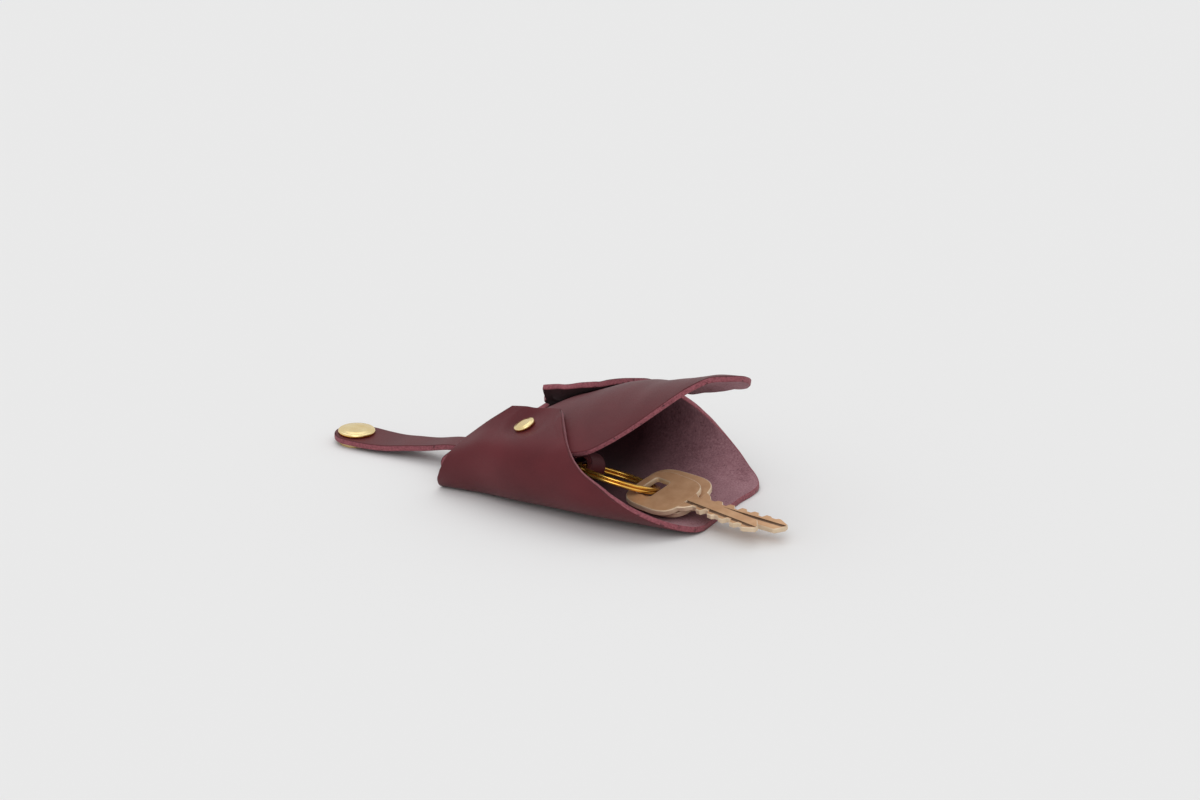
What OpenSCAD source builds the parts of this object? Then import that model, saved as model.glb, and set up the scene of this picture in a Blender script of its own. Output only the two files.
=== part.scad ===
/* [Leather body] */
// Length of the flat back panel, from the narrow end to the mouth
back_len = 97; // [80:1:120]
// Half of the width across the widest part of the rolled sides
pouch_half_w = 40; // [34:1:46]
// Height of the rolled sides at the rivets' side of the mouth
pouch_h = 32; // [27:1:37]
// Thickness of the leather
leather_t = 2; // [1.6:0.1:2.4]
// Half of the width of the folded neck at the narrow end
neck_half_w = 12; // [10:0.5:14]
// Outer radius of the neck's fold
neck_r = 4.25; // [4:0.05:4.6]
// Distance from the centre line to the tips of the two side wings
wing_tip_y = 12; // [10:0.5:14]

/* [Flap] */
// Length of the front flap, from the narrow end to its tip
flap_len = 104; // [96:1:112]
// Half of the width of the front flap at its shoulders
flap_half_w = 33; // [29:0.5:35]
// Height of the flap's tip over the table
flap_tip_z = 48.2; // [44:0.2:52]
// Place along the case where the flap starts to bend up and down
flex_x = 48; // [46:0.5:52]
// Opening between the fixed and the bending part of the flap
flex_gap = 0.6; // [0.5:0.05:0.8]

/* [Wing rivets] */
// Distance of the two wing rivets from the narrow end
rivet_x = 32.6; // [28:0.5:33]
// Distance of the two wing rivets from the centre line
rivet_y = 19.8; // [17:0.4:21]
// How far the far wing's tip curls up off the flap, inwards of its rivet
far_lift = 1.2; // [0:0.1:1.6]
// Diameter of a rivet's cap
rivet_cap_d = 7.4; // [6:0.1:8]
// Height of a rivet's cap
rivet_cap_h = 1.3; // [1:0.1:1.6]
// Diameter of a rivet's post
rivet_post_d = 2.6; // [2:0.1:3.2]
// Radius of the flat seat round a wing rivet
rivet_seat_r = 4.2; // [4:0.1:4.6]
// Radius at which the wing has left the flap
rivet_blend_r = 9; // [7.5:0.5:10]

/* [Strap] */
// Width of the strap where it goes through the neck
strap_w = 9; // [7:0.5:10]
// Thickness of the strap
strap_t = 2; // [1.6:0.1:2.2]
// Height of the strap's underside inside the case
strap_lift = 7; // [6.6:0.1:7.4]
// Angle of the strap to the centre line
strap_yaw = -6.5; // [-8:0.1:-4]
// Distance of the strap from the centre line, towards the near side, where it leaves the case
strap_aside = 1.2; // [0:0.1:1.6]
// Distance of the snap from the narrow end
snap_out = 42.8; // [38:0.2:48]
// Distance of the strap's hinge from the narrow end
fold_out = 6.3; // [6:0.1:7]
// Distance of the ring's loop from the narrow end
loop_in = 48; // [46:0.1:50]
// Distance of the stud from the narrow end
stud_in = 18; // [16:0.5:20]
// Roll of the strap's end that holds the ring
loop_roll = -22; // [-24:0.5:-18]
// Half of the width of the slot in the neck
slot_half_w = 6.2; // [6:0.1:7]

/* [Snap] */
// Diameter of the snap's cap
snap_d = 12.5; // [11:0.1:14]
// Height of the snap's cap
snap_cap_h = 1.5; // [1.2:0.1:1.8]
// Thickness of the snap's socket
socket_t = 1.4; // [1.2:0.1:1.8]
// Diameter of the stud's head
stud_d = 3.6; // [3:0.1:4]
// Height of the stud
stud_h = 3; // [2.4:0.1:3.2]

/* [Ring and keys] */
// Outer diameter of the split ring
ring_d = 29; // [27:0.5:30]
// Radial width of the ring's wire
ring_wire_w = 2; // [1.6:0.1:2.2]
// Height of one turn of the ring's wire
ring_wire_h = 1.1; // [0.9:0.05:1.2]
// Thickness of a key
key_t = 1.9; // [1.7:0.1:2]
// Width of the front key's bow
bow_front_d = 21.5; // [20:0.5:23]
// Width of the rear key's bow
bow_rear_d = 24; // [22:0.5:25]
// From the middle of a key's hole to the end of its bow
key_end = 6.1; // [5.6:0.1:6.6]
// Width of a key's blade
blade_w = 7.4; // [7:0.1:9]
// Front key, from the middle of its hole to its tip
key_front_len = 45.5; // [43:0.5:49]
// Rear key, from the middle of its hole to its tip
key_rear_len = 52.5; // [50:0.5:56]

/* [Hidden] */
$fn = 96;

// Small sizes that every piece follows
overrun = leather_t / 4;
seat_gap = leather_t / 20;
hole_gap = rivet_post_d / 26;

// Grid counts of the leather shells
wing_rows = 30;
wing_columns = 24;
flat_rows = 6;
bend_rows = 12;
root_rows = 30;
flap_rows = 30;
flap_columns = 20;

// Cross-section of the wings along the case. Each line holds a place, as a share of back_len,
// and a share of pouch_half_w or pouch_h
flat_shares = [[0, 0.49], [0.17, 0.45], [0.39, 0.425], [0.6, 0.4], [1, 0.4]];
side_shares = [[0, 0.63], [0.035, 0.65], [0.17, 0.72], [0.31, 0.84], [0.5, 0.935], [0.6, 0.985], [0.73, 1], [1, 1]];
mid_shares = [[0, 0.24], [0.05, 0.265], [0.17, 0.34], [0.31, 0.41], [0.5, 0.484], [0.6, 0.5], [1, 0.5]];
tip_shares = [
    [0, 0.44], [0.052, 0.547], [0.106, 0.678], [0.19, 0.853], [0.237, 0.8875],
    [0.31, 0.925], [0.42, 0.978], [0.52, 1.016], [0.6, 1.06], [1, 1.12]
];
tilt_shares = [
    [0, 0.3], [0.06, 0.5], [0.106, 0.75], [0.17, 0.92], [0.22, 0.9], [0.27, 0.75], [0.32, 0.6],
    [0.36, 0.45], [0.42, 0.28], [0.5, 0.15], [0.62, 0.05], [1, 0]
];
lean_shares = [[0, 0.105], [0.2, 0.105], [0.31, 0.06], [0.42, 0], [1, 0]];

// Edges of the wings across the leather, from the centre line (0) to the wing's tip (1), and how much
// further in the far wing is cut back at the narrow end
narrow_edge_shares = [
    [0, 0.0129], [0.4, 0.0129], [0.45, 0.0155], [0.5, 0.0232], [0.55, 0.0309], [0.6, 0.0412], [0.7, 0.0593],
    [0.8, 0.0799], [0.85, 0.0876], [0.9, 0.1186], [0.95, 0.1856], [1, 0.2371]
];
far_cut_shares = [
    [0, 0], [0.45, 0], [0.55, 0], [0.63, 0.065], [0.7, 0.11], [0.8, 0.112], [0.88, 0.098], [0.92, 0.073],
    [0.95, 0.041], [1, 0]
];
// How much further out, or in, the far wing's edge is at the mouth
far_mouth_shares = [
    [0, 0], [0.12, 0.003], [0.18, 0.01], [0.22, 0.012], [0.26, 0.008], [0.3, -0.004], [0.34, -0.014],
    [0.38, -0.02], [0.43, -0.022], [0.5, -0.022], [0.65, -0.019], [0.8, -0.014], [0.95, 0], [1, 0]
];
mouth_edge_shares = [
    [0, 1], [0.2, 1], [0.26, 0.998], [0.3, 0.985], [0.35, 0.948], [0.4, 0.907], [0.45, 0.858], [0.5, 0.806],
    [0.57, 0.735], [0.65, 0.629], [0.7, 0.588], [0.8, 0.528], [0.85, 0.5026], [0.9, 0.4768], [1, 0.4227]
];
flat_end_share = flat_rows / wing_rows;
side_end_share = 0.57;
side_full_share = 0.72;
top_full_share = 0.58;

// The flap along the case, as shares of flap_len: its ridge and its shape across, as shares of flap_tip_z
// and flap_half_w, its arch radius as a share of flap_half_w, the slope of its roll, and how much of its reach
// the far half keeps
ridge_shares = [
    [0.012, 0.1763], [0.048, 0.199], [0.096, 0.261], [0.144, 0.332], [0.192, 0.4], [0.26, 0.4855], [0.337, 0.577],
    [0.379, 0.612], [0.444, 0.668], [0.503, 0.718], [0.563, 0.757], [0.643, 0.805], [0.683, 0.84], [0.769, 0.907],
    [0.831, 0.948], [0.904, 0.979], [1, 1]
];
half_width_shares = [
    [0, 0.3636], [0.03, 0.3636], [0.077, 0.424], [0.144, 0.576], [0.212, 0.712], [0.298, 0.818], [0.385, 0.894],
    [0.462, 0.935], [0.548, 0.955], [0.58, 0.94], [0.62, 0.88], [0.679, 0.75], [0.771, 0.545], [0.844, 0.4],
    [0.906, 0.333], [0.9375, 0.303], [0.98, 0.212], [0.995, 0.09], [1, 0.03]
];
arch_shares = [
    [0, 2.3], [0.298, 2.3], [0.385, 1.7], [0.548, 1.55], [0.62, 1.45], [0.683, 1.09], [0.769, 0.85],
    [0.837, 0.64], [0.913, 0.61], [1, 0.61]
];
roll_shares = [
    [0, 0], [0.46, 0], [0.615, 0.02], [0.683, 0.08], [0.769, 0.18], [0.844, 0.385], [0.906, 0.57], [1, 0.6]
];
far_reach_shares = [[0, 1], [0.6, 1], [0.7, 1.12], [0.8, 1.15], [0.87, 1.02], [0.93, 0.75], [1, 0.6]];

// The strap's tail, from its hinge (0) to the snap (1): its height over its lowest stretch as a share of the
// hinge's, and its half width as a share of the head's
tail_height_shares = [[0, 1], [0.156, 0.681], [0.375, 0.374], [0.595, 0.088], [0.72, 0.02], [0.8, 0], [0.84, 0], [1, 0]];
tail_width_shares = [[0, 0.6], [0.1, 0.6], [0.4, 0.73], [0.7, 0.92], [0.87, 0.99], [1, 1]];
head_r = snap_d * 0.6;
tail_rows = 36;
nose_rows = 5;
head_rows = 10;
side_column_shares = [-1, -1 / 3, 1 / 3, 1];
strap_mid_z = strap_lift + strap_t / 2;
tail_low_z = socket_t + strap_t / 2;
fold_drop = strap_t * 0.525;
fold_z = strap_mid_z - fold_drop;

// Ring: its tilt, and its height, at which its far side stays over the back panel
ring_r = (ring_d - ring_wire_w) / 2;
ring_pitch_angle = 4.6;
ring_turn_angle = -13;
ring_lift = leather_t / 4;
ring_depth = ring_r * (sin(ring_pitch_angle) + sin(-loop_roll)) + ring_wire_w / 2 * sin(-loop_roll)
    + ring_wire_h * cos(loop_roll);
loop_z = leather_t + ring_lift + ring_depth;

// Leather loop round the ring
loop_lift = loop_z - strap_mid_z - strap_t / 10;
loop_hole_r = ring_wire_w * 1.42;
loop_mid_r = loop_hole_r + strap_t / 2;
loop_rise = strap_w * 0.9;
loop_tail = strap_w * 1.85;
strap_rivet_in = loop_in - strap_w * 1.4;
layer_gap = strap_t / 20;
strap_rivet_cap_d = strap_w * 0.7;

// Keys: the place, dip, lean and turn of each key in the case
key_hole_x = ring_wire_w * 3.1;
key_hole_y = bow_front_d * 0.5;
bow_square_share = 0.58;
key_lean_angle = 12;
key_front_dip_angle = -1.5;
key_rear_dip_angle = -0.5;
key_front_turn_angle = -17.7;
key_rear_turn_angle = -10.7;
key_front_x = loop_in + 1.978 * ring_r;
key_front_y = -ring_r * 0.889;
key_front_z = loop_z - ring_r * 0.137;
key_rear_x = loop_in + 1.889 * ring_r;
key_rear_y = -ring_r * 0.556;
key_step = key_t * 0.87;
groove_w = blade_w * 0.16;
peak_share = 0.14;
groove_t = key_t * 0.2;
front_cut_shares = [0.28, 0.36, 0.24, 0.34, 0.3];
rear_cut_shares = [0.26, 0.34, 0.36, 0.28, 0.34, 0.22];

// Value at q of the smooth curve through a table of places and values
function secant(t, i) = (t[i + 1][1] - t[i][1]) / (t[i + 1][0] - t[i][0]);
function span(t, i) = t[i + 1][0] - t[i][0];
function tangent(t, i) =
    i == 0 ? secant(t, 0) :
    i == len(t) - 1 ? secant(t, i - 1) :
    (secant(t, i - 1) * span(t, i) + secant(t, i) * span(t, i - 1)) / (span(t, i - 1) + span(t, i));
function place_in(t, q, i = 0) = i >= len(t) - 2 || q < t[i + 1][0] ? i : place_in(t, q, i + 1);
function smooth_at(t, q_raw) =
    let (
        q = min(max(q_raw, t[0][0]), t[len(t) - 1][0]),
        i = place_in(t, q),
        h = span(t, i),
        u = (q - t[i][0]) / h
    )
    (2 * u ^ 3 - 3 * u ^ 2 + 1) * t[i][1] + (u ^ 3 - 2 * u ^ 2 + u) * h * tangent(t, i)
    + (3 * u ^ 2 - 2 * u ^ 3) * t[i + 1][1] + (u ^ 3 - u ^ 2) * h * tangent(t, i + 1);
function ease(u) = let (v = min(max(u, 0), 1)) v * v * (3 - 2 * v);
function unit(v) = v / norm(v);

// Upper face of the front flap at a place x along and y across the case
function flap_arch(x) = flap_half_w * smooth_at(arch_shares, x / flap_len);
function flap_plain(x, y) =
    flap_tip_z * smooth_at(ridge_shares, x / flap_len) - y ^ 2 / (2 * flap_arch(x))
    - y * smooth_at(roll_shares, x / flap_len);
function leaned(x, y, z) = z - y * smooth_at(lean_shares, x / back_len) * z / pouch_h;
function flap_top(x, y) = leaned(x, y, flap_plain(x, y));
function flap_slope_x(x, y) = (flap_top(x + overrun, y) - flap_top(x - overrun, y)) / (2 * overrun);
function flap_slope_y(x, y) = (flap_top(x, y + overrun) - flap_top(x, y - overrun)) / (2 * overrun);
function flap_normal(x, y) = unit([-flap_slope_x(x, y), -flap_slope_y(x, y), 1]);
function flap_side(x) = flap_half_w * smooth_at(half_width_shares, x / flap_len);
// Place across the flap, from -1 to 1; where the flap rolls, its far half lies steeper and so reaches less far
function lean_share(roll, bow) = sqrt((1 + (roll - bow) ^ 2) / (1 + (roll + bow) ^ 2));
function flap_y(x, v) =
    let (
        half = flap_side(x),
        roll = smooth_at(roll_shares, x / flap_len),
        bow = half / (2 * flap_arch(x))
    )
    half * v * (v > 0 ? smooth_at(far_reach_shares, x / flap_len) * lean_share(roll, bow) : 1);

// Outer face of a wing: x along the case, w across the leather from the centre line (0) to the tip (1),
// and side -1 for the near wing, 1 for the far one
function wing_yz(x, w) =
    let (
        s = x / back_len,
        flat_y = pouch_half_w * smooth_at(flat_shares, s),
        side_y = pouch_half_w * smooth_at(side_shares, s),
        mid_z = pouch_h * smooth_at(mid_shares, s),
        tip_z = pouch_h * smooth_at(tip_shares, s),
        tilt = smooth_at(tilt_shares, s),
        a = 90 * (w - flat_end_share) / (side_end_share - flat_end_share),
        u = (w - side_end_share) / (1 - side_end_share),
        reach = top_full_share * (side_y - wing_tip_y)
    )
    w <= flat_end_share ? [flat_y * w / flat_end_share, 0] :
    w <= side_end_share ? [flat_y + (side_y - flat_y) * sin(a), mid_z * (1 - cos(a))] :
    [
        (1 - u) ^ 3 * side_y + 3 * (1 - u) ^ 2 * u * side_y + 3 * (1 - u) * u ^ 2 * (wing_tip_y + reach)
        + u ^ 3 * wing_tip_y,
        (1 - u) ^ 3 * mid_z + 3 * (1 - u) ^ 2 * u * (mid_z + side_full_share * (tip_z - mid_z))
        + 3 * (1 - u) * u ^ 2 * (tip_z - tilt * reach) + u ^ 3 * tip_z
    ];
function seat_weight(x, y, w) =
    let (reach = rivet_blend_r - norm([x - rivet_x, y - rivet_y]))
    w < side_end_share ? 0 : ease(reach / (rivet_blend_r - rivet_seat_r));
// A wing lies on the flap where it would sink into it, and stays clear of the flap's moving part
function wing_gap(x) = flex_gap * ease((x - flex_x + 2 * rivet_seat_r) / rivet_seat_r);
function wing_point(x, w, side) =
    let (
        yz = wing_yz(x, w),
        y = side * yz[0],
        k = seat_weight(x, yz[0], w),
        over = w < side_end_share ? 0 : ease((flap_side(x) + rivet_seat_r - yz[0]) / rivet_seat_r),
        curl = w < side_end_share || side < 0 ? 0 : far_lift * ease((rivet_y - rivet_seat_r - yz[0]) / rivet_seat_r),
        free_z = leaned(x, y, yz[1]),
        seat_z = flap_top(x, y) + (leather_t + seat_gap + wing_gap(x)) / flap_normal(x, y)[2]
    )
    [x, y, curl + free_z + (seat_z - free_z) * (seat_z > free_z ? max(k, over) : k)];
function narrow_edge(w, side = -1) =
    back_len * (smooth_at(narrow_edge_shares, w) + (side > 0 ? smooth_at(far_cut_shares, w) : 0));
function mouth_edge(w, side = -1) =
    back_len * (smooth_at(mouth_edge_shares, w) + (side > 0 ? smooth_at(far_mouth_shares, w) : 0));

// A sheet: a grid of points on its outer face, and the same points moved inwards along the grid's normals
function grid_normal(g, i, j) =
    let (
        n = len(g) - 1,
        m = len(g[0]) - 1,
        along = g[min(i + 1, n)][j] - g[max(i - 1, 0)][j],
        across = g[i][min(j + 1, m)] - g[i][max(j - 1, 0)]
    )
    unit(cross(along, across));
function inner_grid(g, t) =
    [for (i = [0 : len(g) - 1]) [for (j = [0 : len(g[0]) - 1]) g[i][j] - t * grid_normal(g, i, j)]];
function flat_list(g) = [for (row = g) for (p = row) p];
function quad(a, b, c, d) = [[a, c, b], [a, d, c]];
module sheet_between(outer, inner) {
    n = len(outer) - 1;
    m = len(outer[0]) - 1;
    w = m + 1;
    o = (n + 1) * w;
    quads = concat(
        [for (i = [0 : n - 1]) for (j = [0 : m - 1]) quad(i * w + j, (i + 1) * w + j, (i + 1) * w + j + 1, i * w + j + 1)],
        [for (i = [0 : n - 1]) for (j = [0 : m - 1])
            quad(o + i * w + j, o + i * w + j + 1, o + (i + 1) * w + j + 1, o + (i + 1) * w + j)],
        [for (i = [0 : n - 1]) quad((i + 1) * w, i * w, o + i * w, o + (i + 1) * w)],
        [for (i = [0 : n - 1]) quad(i * w + m, (i + 1) * w + m, o + (i + 1) * w + m, o + i * w + m)],
        [for (j = [0 : m - 1]) quad(j, j + 1, o + j + 1, o + j)],
        [for (j = [0 : m - 1]) quad(n * w + j, o + n * w + j, o + n * w + j + 1, n * w + j + 1)]
    );
    polyhedron(points = concat(flat_list(outer), flat_list(inner)), faces = [for (q = quads) for (f = q) f]);
}
module sheet(g, t) {
    sheet_between(g, inner_grid(g, t));
}

// Everything is drawn with its origin at the narrow end, then moved to the middle of the back panel
module placed() {
    translate([-back_len / 2, 0, 0]) children();
}
module at_rivet(side) {
    y = side * rivet_y;
    n = flap_normal(rivet_x, y);
    translate([rivet_x, y, flap_top(rivet_x, y)])
        rotate([0, acos(n[2]), atan2(n[1], n[0])])
            children();
}
module in_strap() {
    translate([0, -strap_aside, 0]) rotate([0, 0, strap_yaw]) children();
}
module in_loop(place) {
    in_strap()
        translate([place, 0, strap_mid_z + loop_lift])
            rotate([loop_roll, 0, 0])
                children();
}
module disc(d, h, edge) {
    rotate_extrude()
        polygon(concat([[0, 0], [d / 2, 0]],
            [for (a = [0 : 15 : 90]) [d / 2 - edge + edge * cos(a), h - edge + edge * sin(a)]], [[0, h]]));
}

// The back panel and the two wings that roll up from its sides are one cut piece; its rows run from the
// near wing's tip to the far wing's, and each stretch takes some of them
wrap_outer = [for (r = [-wing_rows : wing_rows])
    let (w = abs(r) / wing_rows, side = r < 0 ? -1 : 1, x0 = narrow_edge(w, side), x1 = mouth_edge(w, side))
    [for (c = [0 : wing_columns]) wing_point(x0 + (x1 - x0) * c / wing_columns, w, side)]];
wrap_inner = inner_grid(wrap_outer, leather_t);
module wrap_rows(first, last) {
    rows = [first + wing_rows : last + wing_rows];
    sheet_between([for (r = rows) wrap_outer[r]], [for (r = rows) wrap_inner[r]]);
}
module wing(side, first, last) {
    color("#5f2b33")
    placed()
    difference() {
        wrap_rows(first, last);
        at_rivet(side) cylinder(d = rivet_post_d + 2 * hole_gap, h = 2 * leather_t);
    }
}
module back_panel() {
    color("#5a2830") placed() wrap_rows(-flat_rows, flat_rows);
}
module near_wing() {
    wing(-1, -wing_rows, -flat_rows);
}
module far_wing() {
    wing(1, flat_rows, wing_rows);
}

// Folded neck and the part of the front flap that the wings are riveted to
module front_root() {
    neck_x = narrow_edge(0);
    lead = neck_r / 10;
    bend = [for (i = [-1 : bend_rows])
        let (a = 180 * max(i, 0) / bend_rows, x = i < 0 ? neck_x - seat_gap : neck_x - lead - neck_r * sin(a))
        [for (c = [-flap_columns / 2 : flap_columns / 2])
            [x, 2 * neck_half_w * c / flap_columns, neck_r * (1 - cos(a))]]];
    rise = [for (i = [1 : root_rows])
        let (x = neck_x + (flex_x - neck_x) * i / root_rows, b = ease(4 * i / root_rows))
        [for (c = [-flap_columns / 2 : flap_columns / 2])
            let (y = flap_y(x, 2 * c / flap_columns))
            [x, y, flap_top(x, y) * b + 2 * neck_r * (1 - b)]]];
    color("#613038")
    placed()
    difference() {
        sheet(concat(bend, rise), leather_t);
        in_strap()
            translate([-neck_r - overrun, -slot_half_w, leather_t * 1.65])
                cube([4 * neck_r, 2 * slot_half_w, 3 * neck_r]);
        for (side = [-1, 1])
            at_rivet(side)
                translate([0, 0, -1.5 * leather_t])
                    cylinder(d = rivet_post_d + 2 * hole_gap, h = 2 * leather_t);
    }
}

// Free part of the front flap, which bends up and down over the mouth
module front_flap() {
    x0 = flex_x + flex_gap;
    g = [for (i = [0 : flap_rows])
        let (x = x0 + (flap_len - x0) * sin(90 * i / flap_rows))
        [for (c = [-flap_columns / 2 : flap_columns / 2])
            let (y = flap_y(x, 2 * c / flap_columns))
            [x, y, flap_top(x, y)]]];
    color("#6b4048") placed() sheet(g, leather_t);
}

// Rivets through the wings and the flap
module wing_rivet_caps() {
    color("#d9a640")
    placed()
    for (side = [-1, 1])
        at_rivet(side)
            translate([0, 0, leather_t + 3 * seat_gap])
                disc(rivet_cap_d, rivet_cap_h, rivet_cap_h * 0.75);
}
module wing_rivet_posts() {
    color("#c9973a")
    placed()
    for (side = [-1, 1])
        at_rivet(side) {
            translate([0, 0, -leather_t - 5 * seat_gap])
                cylinder(d = rivet_post_d, h = 2 * leather_t + 8 * seat_gap);
            translate([0, 0, -leather_t - 5 * seat_gap])
                mirror([0, 0, 1])
                    disc(rivet_cap_d * 0.85, rivet_cap_h * 0.5, rivet_cap_h * 0.3);
        }
}

// The strap's part inside the case: it bends down at the neck, runs in, rises and rolls, and goes round the ring
// and back under itself. A row is a place along the leather and its height over the strap's middle
function bent_down(x) = -fold_drop * (max(strap_t - x, 0) / (strap_t + fold_out)) ^ 2;
function loop_rows() =
    let (
        start = -fold_out + 1.3 * strap_t / 2,
        turn_z = strap_t / 10,
        back_z = -strap_t - layer_gap
    )
    concat(
        [for (i = [0 : 24]) let (x = start + (loop_in - loop_rise - start) * i / 24) [x, bent_down(x)]],
        [for (i = [1 : 6]) let (u = i / 7) [loop_in - loop_rise + loop_rise * u, (turn_z + loop_mid_r) * ease(u)]],
        [for (i = [0 : 12]) let (a = 180 * i / 12) [loop_in + loop_mid_r * sin(a), turn_z + loop_mid_r * cos(a)]],
        [for (i = [1 : 7]) let (u = i / 7)
            [loop_in - loop_rise * 0.7 * u, turn_z - loop_mid_r + (back_z - turn_z + loop_mid_r) * ease(u)]],
        [for (i = [1 : 4]) [loop_in - loop_rise * 0.7 - (loop_tail - loop_rise * 0.7) * i / 4, back_z]]
    );
function roll_share(x) =
    let (from = stud_in + strap_w * 0.45, to = strap_rivet_in - strap_w * 0.4)
    ease((x - from) / (to - from));
function rolled(x, y, h) =
    let (k = roll_share(x), r = loop_roll * k)
    [x, y * cos(r) - h * sin(r), strap_mid_z + loop_lift * k + y * sin(r) + h * cos(r)];
function row_normal(rows, i) =
    let (d = rows[min(i + 1, len(rows) - 1)] - rows[max(i - 1, 0)]) unit([-d[1], d[0]]);
module strap_inner() {
    rows = loop_rows();
    faces = [for (s = [1, -1]) [for (i = [0 : len(rows) - 1])
        let (n = row_normal(rows, i) * s * strap_t / 2)
        [for (share = side_column_shares) rolled(rows[i][0] + n[0], share * strap_w / 2, rows[i][1] + n[1])]]];
    color("#643139")
    placed()
    difference() {
        in_strap() sheet_between(faces[0], faces[1]);
        in_loop(strap_rivet_in)
            translate([0, 0, -3 * strap_t])
                cylinder(d = rivet_post_d + 2 * hole_gap, h = 6 * strap_t);
        in_strap()
            translate([stud_in, 0, strap_lift - overrun])
                cylinder(d = stud_d * 0.6 + 2 * hole_gap, h = 2 * strap_t);
    }
}

// The strap's tail outside the case, with the round head that carries the snap
function tail_mid(u) = tail_low_z + (fold_z - tail_low_z) * smooth_at(tail_height_shares, u);
module strap_tail() {
    reach = snap_out - fold_out;
    nose = [for (i = [0 : nose_rows]) let (a = 90 * i / nose_rows)
        [-fold_out + strap_t / 2 * cos(a), fold_z, strap_t / 2 * max(sin(a), 0.1), 0.6 * head_r]];
    run = [for (i = [1 : tail_rows]) let (u = i / tail_rows)
        [-fold_out - reach * u, tail_mid(u), strap_t / 2, head_r * smooth_at(tail_width_shares, u)]];
    head = [for (i = [1 : head_rows]) let (a = 88 * i / head_rows)
        [-snap_out - head_r * sin(a), tail_mid(1), strap_t / 2, head_r * cos(a)]];
    rows = concat(nose, run, head);
    grids = [for (s = [-1, 1]) [for (i = [0 : len(rows) - 1])
        let (n = i <= nose_rows ? [0, 1] : -row_normal(rows, i), h = s * rows[i][2])
        [for (share = side_column_shares) [rows[i][0] + n[0] * h, share * rows[i][3], rows[i][1] + n[1] * h]]]];
    color("#643139")
    placed()
    in_strap()
    difference() {
        sheet_between(grids[0], grids[1]);
        translate([-snap_out, 0, 0]) cylinder(d = stud_d + 2 * hole_gap, h = 4 * strap_t);
    }
}

// Rivet that closes the strap's loop
module strap_rivet_cap() {
    color("#d9a640")
    placed()
    in_loop(strap_rivet_in)
        translate([0, 0, strap_t / 2 + seat_gap])
            disc(strap_rivet_cap_d, rivet_cap_h, rivet_cap_h * 0.75);
}
module strap_rivet_post() {
    color("#c9973a")
    placed()
    in_loop(strap_rivet_in) {
        translate([0, 0, -1.5 * strap_t - layer_gap - seat_gap])
            cylinder(d = rivet_post_d, h = 2 * strap_t + layer_gap + 2 * seat_gap);
        translate([0, 0, -1.5 * strap_t - layer_gap - seat_gap])
            mirror([0, 0, 1])
                disc(strap_rivet_cap_d * 0.85, rivet_cap_h * 0.5, rivet_cap_h * 0.3);
    }
}

// Snap: cap and socket on the strap's head, stud and eyelet on the strap inside the case
module snap_cap() {
    color("#e0ae48")
    placed()
    in_strap()
    translate([-snap_out, 0, socket_t + strap_t]) {
        disc(snap_d, snap_cap_h, snap_cap_h * 0.8);
        translate([0, 0, -strap_t - socket_t / 4])
            cylinder(d = stud_d, h = strap_t + socket_t / 2);
    }
}
module snap_socket() {
    color("#c9973a")
    placed()
    in_strap()
    translate([-snap_out, 0, 0])
    difference() {
        cylinder(d = snap_d * 0.94, h = socket_t);
        translate([0, 0, -overrun]) cylinder(d = stud_d + 4 * hole_gap, h = socket_t + 2 * overrun);
        translate([0, 0, socket_t * 0.35])
            cylinder(d = stud_d * 2, h = socket_t * 0.4);
    }
}
module snap_spring() {
    wire = socket_t * 0.28;
    color("#b8b0a4")
    placed()
    in_strap()
    translate([-snap_out, 0, socket_t * 0.55])
        for (side = [-1, 1])
            translate([side * (stud_d / 2 + 2 * hole_gap + wire / 2), 0, 0])
                rotate([90, 0, 0])
                    cylinder(d = wire, h = stud_d * 1.2, center = true);
}
module snap_stud() {
    color("#c9973a")
    placed()
    in_strap()
    translate([stud_in, 0, strap_lift]) {
        translate([0, 0, -socket_t / 2]) cylinder(d = snap_d * 0.62, h = socket_t / 2 - seat_gap);
        translate([0, 0, -stud_h]) cylinder(d = stud_d * 0.8, h = stud_h - socket_t / 4);
        translate([0, 0, -stud_h]) mirror([0, 0, 1]) translate([0, 0, -socket_t / 2])
            disc(stud_d, socket_t / 2, socket_t / 5);
    }
}
module snap_eyelet() {
    color("#d9a640")
    placed()
    in_strap()
    translate([stud_in, 0, strap_lift + strap_t + seat_gap]) {
        disc(snap_d * 0.6, socket_t / 2, socket_t / 3);
        translate([0, 0, -strap_t - seat_gap * 2])
            cylinder(d = stud_d * 0.6, h = strap_t + seat_gap * 3);
    }
}

// Split ring: one flat wire wound twice, with a step where the turns change places
function ring_section() =
    let (e = ring_wire_h / 4, w = ring_wire_w / 2, h = ring_wire_h / 2)
    [[w, h - e], [w - e, h], [e - w, h], [-w, h - e], [-w, e - h], [e - w, -h], [w - e, -h], [w, e - h]];
module split_ring() {
    steps = 110;
    turn = 705;
    step_angle = 30;
    section = ring_section();
    pitch = ring_wire_h * 1.06;
    rows = [for (i = [0 : steps])
        let (
            a = turn * i / steps,
            z = pitch * (ease((a - 360 + step_angle) / step_angle) - 0.5)
        )
        [for (p = section) [(ring_r + p[0]) * cos(a + 200), (ring_r + p[0]) * sin(a + 200), z + p[1]]]];
    m = len(section);
    sides = [for (i = [0 : steps - 1]) for (j = [0 : m - 1])
        let (k = (j + 1) % m) each quad(i * m + j, (i + 1) * m + j, (i + 1) * m + k, i * m + k)];
    ends = [[for (j = [0 : m - 1]) m - 1 - j], [for (j = [0 : m - 1]) steps * m + j]];
    color("#e2b24a")
    placed()
    ring_place()
        polyhedron(points = flat_list(rows), faces = concat(sides, ends));
}
module ring_place() {
    in_strap()
    translate([loop_in, 0, loop_z])
    rotate([0, 0, -strap_yaw])
    rotate([loop_roll, ring_pitch_angle, ring_turn_angle])
    translate([ring_r, 0, 0])
        children();
}

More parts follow.
